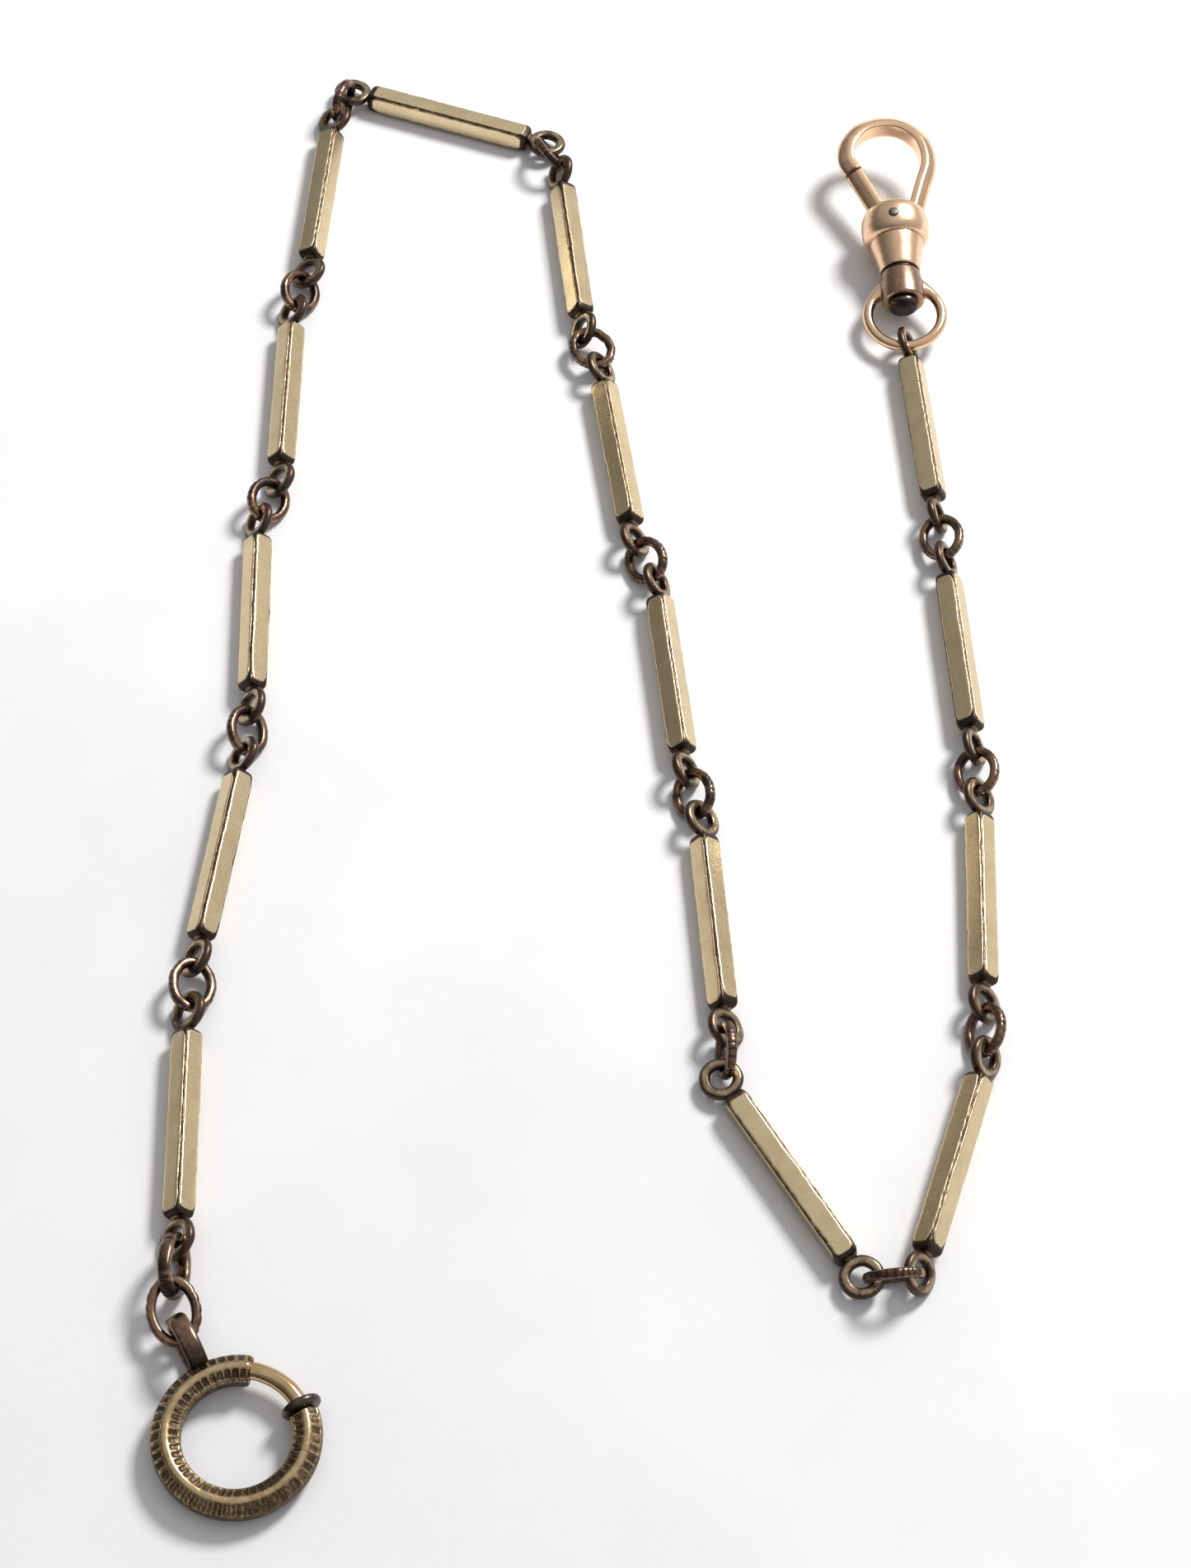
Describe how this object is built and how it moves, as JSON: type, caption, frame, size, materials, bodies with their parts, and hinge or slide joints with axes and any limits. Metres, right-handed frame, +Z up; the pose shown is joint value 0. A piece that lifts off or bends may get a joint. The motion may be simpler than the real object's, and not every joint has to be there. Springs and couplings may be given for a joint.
{
  "type": "pocket watch chain",
  "caption": "Pocket watch chain of square bar links and oval jump rings, with a sprung swivel clip at one end and a bolt spring ring at the other, lying in a zigzag.",
  "frame": {"origin": "centre of the bounding box in plan, on the table the chain lies on", "axes": "+Z up off the table, +Y along the long runs towards the swivel clip, +X across the runs towards the swivel clip's side"},
  "size_m": [0.057, 0.125, 0.0054],
  "materials": {
    "champagne_gold": "satin pale gold, worn, tarnish along the edges",
    "brown_gold": "tarnished gold over brown base metal",
    "rose_gold": "polished rose gold",
    "old_gold": "engraved gold with dark tarnish in the cuts",
    "dark_bronze": "dark worn bronze",
    "steel": "dull steel"
  },
  "bodies": {
    "bar_01": {"bar_01_sleeve": "champagne_gold", "bar_01_core": "brown_gold"},
    "bar_02": {"bar_02_sleeve": "champagne_gold", "bar_02_core": "brown_gold"},
    "bar_03": {"bar_03_sleeve": "champagne_gold", "bar_03_core": "brown_gold"},
    "bar_04": {"bar_04_sleeve": "champagne_gold", "bar_04_core": "brown_gold"},
    "bar_05": {"bar_05_sleeve": "champagne_gold", "bar_05_core": "brown_gold"},
    "bar_06": {"bar_06_sleeve": "champagne_gold", "bar_06_core": "brown_gold"},
    "bar_07": {"bar_07_sleeve": "champagne_gold", "bar_07_core": "brown_gold"},
    "bar_08": {"bar_08_sleeve": "champagne_gold", "bar_08_core": "brown_gold"},
    "bar_09": {"bar_09_sleeve": "champagne_gold", "bar_09_core": "brown_gold"},
    "bar_10": {"bar_10_sleeve": "champagne_gold", "bar_10_core": "brown_gold"},
    "bar_11": {"bar_11_sleeve": "champagne_gold", "bar_11_core": "brown_gold"},
    "bar_12": {"bar_12_sleeve": "champagne_gold", "bar_12_core": "brown_gold"},
    "bar_13": {"bar_13_sleeve": "champagne_gold", "bar_13_core": "brown_gold"},
    "bar_14": {"bar_14_sleeve": "champagne_gold", "bar_14_core": "brown_gold"},
    "bar_15": {"bar_15_sleeve": "champagne_gold", "bar_15_core": "brown_gold"},
    "jump_ring_01": {"jump_ring_01": "brown_gold"},
    "jump_ring_02": {"jump_ring_02": "brown_gold"},
    "jump_ring_03": {"jump_ring_03": "brown_gold"},
    "jump_ring_04": {"jump_ring_04": "brown_gold"},
    "jump_ring_05": {"jump_ring_05": "brown_gold"},
    "jump_ring_06": {"jump_ring_06": "brown_gold"},
    "jump_ring_07": {"jump_ring_07": "brown_gold"},
    "jump_ring_08": {"jump_ring_08": "brown_gold"},
    "jump_ring_09": {"jump_ring_09": "brown_gold"},
    "jump_ring_10": {"jump_ring_10": "brown_gold"},
    "jump_ring_11": {"jump_ring_11": "brown_gold"},
    "jump_ring_12": {"jump_ring_12": "brown_gold"},
    "jump_ring_13": {"jump_ring_13": "brown_gold"},
    "jump_ring_14": {"jump_ring_14": "brown_gold"},
    "end_ring_1": {"end_ring_1": "brown_gold"},
    "end_ring_2": {"end_ring_2": "brown_gold"},
    "spring_ring": {"spring_ring_tube": "old_gold", "spring_ring_socket": "old_gold", "spring_ring_tab": "brown_gold", "spring_ring_coil": "steel"},
    "spring_ring_bolt": {"spring_ring_bolt": "rose_gold", "spring_ring_collar": "dark_bronze"},
    "swivel_bow": {"swivel_bow": "rose_gold"},
    "swivel_barrel": {"swivel_barrel": "rose_gold", "swivel_pin": "dark_bronze", "swivel_washer": "dark_bronze", "hook_frame": "rose_gold", "gate_rivet": "steel", "gate_spring": "steel"},
    "gate": {"gate": "rose_gold"}
  },
  "joints": [
    {"name": "gate_hinge", "type": "hinge", "parent": "swivel_barrel", "child": "gate", "pos_m": [0.02095, 0.04694, 0.00268], "axis": [-0.01, 0.104, -0.9945], "range_deg": [0, 35], "stiffness_Nm_per_rad": 0.01, "springref_deg": -20.05},
    {"name": "bolt_retract", "type": "hinge", "parent": "spring_ring", "child": "spring_ring_bolt", "pos_m": [-0.02056, -0.05711, 0.00134], "axis": [0.0208, -0.0333, 0.9992], "range_deg": [0, 45], "stiffness_Nm_per_rad": 0.006, "springref_deg": -20.05},
    {"name": "swivel_spin", "type": "hinge", "parent": "swivel_bow", "child": "swivel_barrel", "pos_m": [0.02155, 0.0454, 0.00252], "axis": [-0.0953, 0.9899, 0.1045], "continuous": true},
    {"name": "bow_swing", "type": "hinge", "parent": "bar_01", "child": "swivel_bow", "pos_m": [0.02228, 0.03747, 0.00133], "axis": [-0.0768, -0.112, 0.9907], "range_deg": [-35, 35]},
    {"name": "tab_swing", "type": "hinge", "parent": "end_ring_2", "child": "spring_ring", "pos_m": [-0.02488, -0.05094, 0.00138], "axis": [-0.848, -0.5299, 0], "range_deg": [-20, 25]},
    {"name": "end_ring_2_swing", "type": "hinge", "parent": "end_ring_1", "child": "end_ring_2", "pos_m": [-0.02579, -0.04781, 0.00216], "axis": [0.0608, -0.1149, 0.9915], "range_deg": [-20, 35]},
    {"name": "end_ring_1_swing", "type": "hinge", "parent": "bar_15", "child": "end_ring_1", "pos_m": [-0.02577, -0.04484, 0.00115], "axis": [0.9409, 0.0605, 0.3333], "range_deg": [-35, 35]},
    {"name": "ring_08_swing", "type": "hinge", "parent": "bar_08", "child": "jump_ring_08", "pos_m": [-0.00175, 0.0335, 0.00117], "axis": [0.0528, 0.0776, -0.9956], "range_deg": [-25, 20]},
    {"name": "bar_09_swing", "type": "hinge", "parent": "jump_ring_08", "child": "bar_09", "pos_m": [-0.00325, 0.03566, 0.00139], "axis": [-0.8188, -0.1297, 0.5592], "range_deg": [-30, 15]},
    {"name": "ring_09_swing", "type": "hinge", "parent": "bar_09", "child": "jump_ring_09", "pos_m": [-0.0059, 0.05406, 0.00129], "axis": [0.6757, 0.4781, 0.561], "range_deg": [-30, 30]},
    {"name": "bar_10_swing", "type": "hinge", "parent": "jump_ring_09", "child": "bar_10", "pos_m": [-0.00729, 0.05617, 0.00106], "axis": [-0.0288, -0.1005, -0.9945], "range_deg": [-15, 30]},
    {"name": "ring_10_swing", "type": "hinge", "parent": "bar_10", "child": "jump_ring_10", "pos_m": [-0.02443, 0.06143, 0.00093], "axis": [-0.9582, 0.2816, -0.0512], "range_deg": [-30, 5]},
    {"name": "bar_11_swing", "type": "hinge", "parent": "jump_ring_10", "child": "bar_11", "pos_m": [-0.02441, 0.05782, 0.00193], "axis": [0.4997, -0.0174, -0.866], "range_deg": [-30, 30]},
    {"name": "ring_11_swing", "type": "hinge", "parent": "bar_11", "child": "jump_ring_11", "pos_m": [-0.02517, 0.03959, 0.00112], "axis": [0.6208, -0.0751, 0.7803], "range_deg": [-30, 30]},
    {"name": "bar_12_swing", "type": "hinge", "parent": "jump_ring_11", "child": "bar_12", "pos_m": [-0.02607, 0.03709, 0.00137], "axis": [-0.6942, -0.0242, 0.7193], "range_deg": [-30, 30]},
    {"name": "ring_12_swing", "type": "hinge", "parent": "bar_12", "child": "jump_ring_12", "pos_m": [-0.02531, 0.01847, 0.00115], "axis": [-0.6193, 0.1347, -0.7735], "range_deg": [-30, 30]},
    {"name": "bar_13_swing", "type": "hinge", "parent": "jump_ring_12", "child": "bar_13", "pos_m": [-0.02671, 0.01613, 0.0015], "axis": [0.7642, 0.0534, -0.6428], "range_deg": [-30, 30]},
    {"name": "ring_13_swing", "type": "hinge", "parent": "bar_13", "child": "jump_ring_13", "pos_m": [-0.02525, -0.00253, 0.00121], "axis": [-0.6424, 0.0224, -0.766], "range_deg": [-30, 30]},
    {"name": "bar_14_swing", "type": "hinge", "parent": "jump_ring_13", "child": "bar_14", "pos_m": [-0.02547, -0.00518, 0.0012], "axis": [0.7403, -0.0648, -0.6691], "range_deg": [-30, 30]},
    {"name": "ring_14_swing", "type": "hinge", "parent": "bar_14", "child": "jump_ring_14", "pos_m": [-0.02706, -0.02367, 0.00118], "axis": [-0.4226, 0.0074, -0.9063], "range_deg": [-30, 30]},
    {"name": "bar_15_swing", "type": "hinge", "parent": "jump_ring_14", "child": "bar_15", "pos_m": [-0.02703, -0.02632, 0.00116], "axis": [-0.6675, -0.0467, 0.7431], "range_deg": [-30, 30]},
    {"name": "ring_07_swing", "type": "hinge", "parent": "bar_08", "child": "jump_ring_07", "pos_m": [0.00193, 0.01455, 0.00117], "axis": [-0.5693, -0.2247, 0.7909], "range_deg": [-30, 30]},
    {"name": "bar_07_swing", "type": "hinge", "parent": "jump_ring_07", "child": "bar_07", "pos_m": [0.00354, 0.01237, 0.00144], "axis": [0.7783, 0.1233, 0.6157], "range_deg": [-30, 30]},
    {"name": "ring_06_swing", "type": "hinge", "parent": "bar_07", "child": "jump_ring_06", "pos_m": [0.00634, -0.00606, 0.00124], "axis": [0.5888, 0.18, -0.788], "range_deg": [-30, 30]},
    {"name": "bar_06_swing", "type": "hinge", "parent": "jump_ring_06", "child": "bar_06", "pos_m": [0.00727, -0.00856, 0.00119], "axis": [-0.6111, -0.075, -0.788], "range_deg": [-30, 30]},
    {"name": "ring_05_swing", "type": "hinge", "parent": "bar_06", "child": "jump_ring_05", "pos_m": [0.00961, -0.02697, 0.00115], "axis": [-0.9698, -0.0992, 0.2228], "range_deg": [-20, 30]},
    {"name": "bar_05_swing", "type": "hinge", "parent": "jump_ring_05", "child": "bar_05", "pos_m": [0.00963, -0.02947, 0.00135], "axis": [0.1297, 0.0875, -0.9877], "range_deg": [-10, 30]},
    {"name": "ring_04_swing", "type": "hinge", "parent": "bar_05", "child": "jump_ring_04", "pos_m": [0.0194, -0.04473, 0.00097], "axis": [-0.1334, 0.9375, 0.3214], "range_deg": [-5, 30]},
    {"name": "bar_04_swing", "type": "hinge", "parent": "jump_ring_04", "child": "bar_04", "pos_m": [0.02236, -0.04378, 0.0022], "axis": [0.7255, -0.208, 0.6561], "range_deg": [-30, 30]},
    {"name": "ring_03_swing", "type": "hinge", "parent": "bar_04", "child": "jump_ring_03", "pos_m": [0.02747, -0.02593, 0.0012], "axis": [0.7071, 0, -0.7071], "range_deg": [-30, 30]},
    {"name": "bar_03_swing", "type": "hinge", "parent": "jump_ring_03", "child": "bar_03", "pos_m": [0.02715, -0.02328, 0.00126], "axis": [-0.6691, 0, -0.7431], "range_deg": [-30, 30]},
    {"name": "ring_02_swing", "type": "hinge", "parent": "bar_03", "child": "jump_ring_02", "pos_m": [0.02715, -0.00467, 0.00115], "axis": [-0.4216, -0.0295, 0.9063], "range_deg": [-30, 30]},
    {"name": "bar_02_swing", "type": "hinge", "parent": "jump_ring_02", "child": "bar_02", "pos_m": [0.02688, -0.00203, 0.00122], "axis": [0.8245, 0.0867, 0.5592], "range_deg": [-30, 30]},
    {"name": "ring_01_swing", "type": "hinge", "parent": "bar_02", "child": "jump_ring_01", "pos_m": [0.02496, 0.01643, 0.00129], "axis": [0.3387, 0.0476, -0.9397], "range_deg": [-30, 30]},
    {"name": "bar_01_swing", "type": "hinge", "parent": "jump_ring_01", "child": "bar_01", "pos_m": [0.02455, 0.01905, 0.00131], "axis": [-0.8596, -0.1055, -0.5], "range_deg": [-30, 30]}
  ]
}
